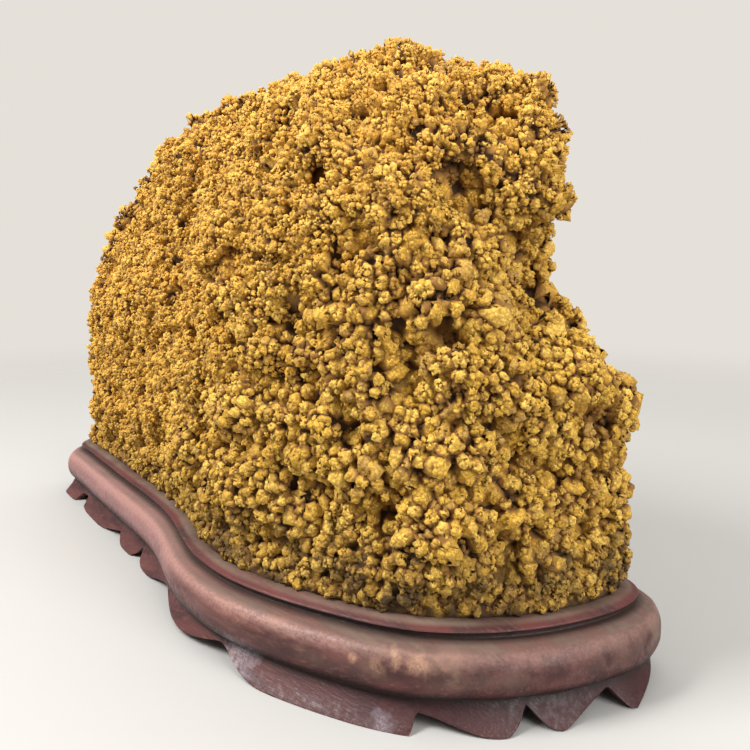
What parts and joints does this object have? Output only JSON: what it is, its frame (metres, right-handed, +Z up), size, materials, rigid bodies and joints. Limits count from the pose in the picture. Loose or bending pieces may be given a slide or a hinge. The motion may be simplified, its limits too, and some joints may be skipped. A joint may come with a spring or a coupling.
{
  "type": "viewing stone",
  "caption": "Tall ochre-yellow viewing stone crusted all over with knobs and granules, seated in the well of a low carved dark wood stand with a moulded rim and a scalloped apron of feet",
  "frame": {"origin": "Middle of the stand's footprint, on the surface that its feet stand on.", "axes": "+X runs along the stone towards its tall, overhanging end, +Y goes through it from the near side to the back, +Z is up."},
  "size_m": [0.4516, 0.1716, 0.2871],
  "materials": {
    "ochre_flowstone": "matte",
    "dark_hardwood": "satin"
  },
  "bodies": {
    "root": {"stone": "ochre_flowstone", "stand": "dark_hardwood"}
  },
  "joints": []
}
